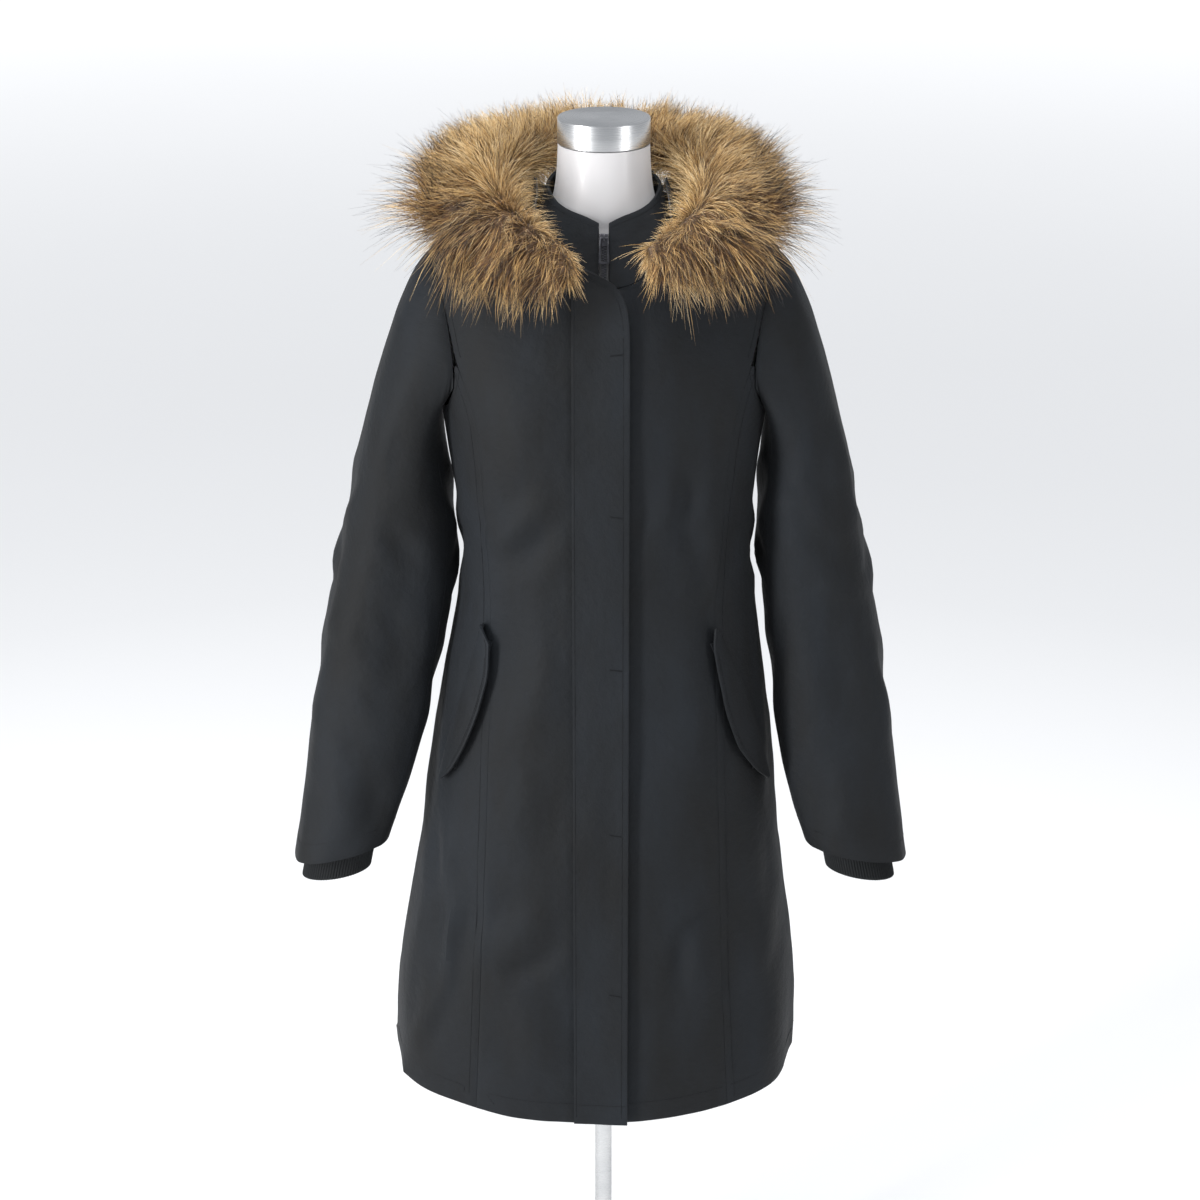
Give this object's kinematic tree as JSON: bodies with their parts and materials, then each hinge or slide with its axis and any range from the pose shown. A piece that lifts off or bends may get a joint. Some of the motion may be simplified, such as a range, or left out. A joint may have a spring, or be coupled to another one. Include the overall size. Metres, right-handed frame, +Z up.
{
  "type": "parka on dress form",
  "caption": "Long women's parka with a fur-trimmed hood, flap pockets and rib-knit cuffs, on a limbless dress form with a round stand.",
  "frame": {"origin": "on the floor, at the centre of the underside of the round base, under the pole", "axes": "+Z up along the pole, -Y the way the coat faces, +X towards the wearer's left"},
  "size_m": [0.689, 0.3855, 1.5],
  "materials": {
    "cloth": "navy-black plain weave with a soft satin sheen",
    "rib_knit": "matt rib knit",
    "lining": "black lining with a low sheen",
    "fur": "long golden tan hair with pale and black tips",
    "zip_tape": "matt woven tape",
    "gunmetal": "dark gunmetal, semi-gloss",
    "form_skin": "white, pearly satin",
    "steel": "fine brushed"
  },
  "bodies": {
    "coat_and_form": {"front_right": "cloth", "side_front_right": "cloth", "back_right": "cloth", "upper_sleeve_right": "cloth", "under_sleeve_right": "cloth", "flap_right": "cloth", "welt_right": "cloth", "front_left": "cloth", "side_front_left": "cloth", "back_left": "cloth", "upper_sleeve_left": "cloth", "under_sleeve_left": "cloth", "flap_left": "cloth", "welt_left": "cloth", "collar": "cloth", "placket": "cloth", "hood_right": "cloth", "hood_left": "cloth", "cuff_right": "rib_knit", "cuff_left": "rib_knit", "hood_lining": "lining", "fur_trim": "fur", "zip_tape": "zip_tape", "zip_slider": "gunmetal", "form_torso": "form_skin", "neck_cap": "steel", "pole": "steel", "base": "steel"},
    "pull": {"zip_pull": "gunmetal"}
  },
  "joints": [
    {"name": "pull_swing", "type": "hinge", "parent": "coat_and_form", "child": "pull", "pos_m": [0, -0.07309, 1.39085], "axis": [-1, 0, 0], "range_deg": [0, 150]}
  ]
}
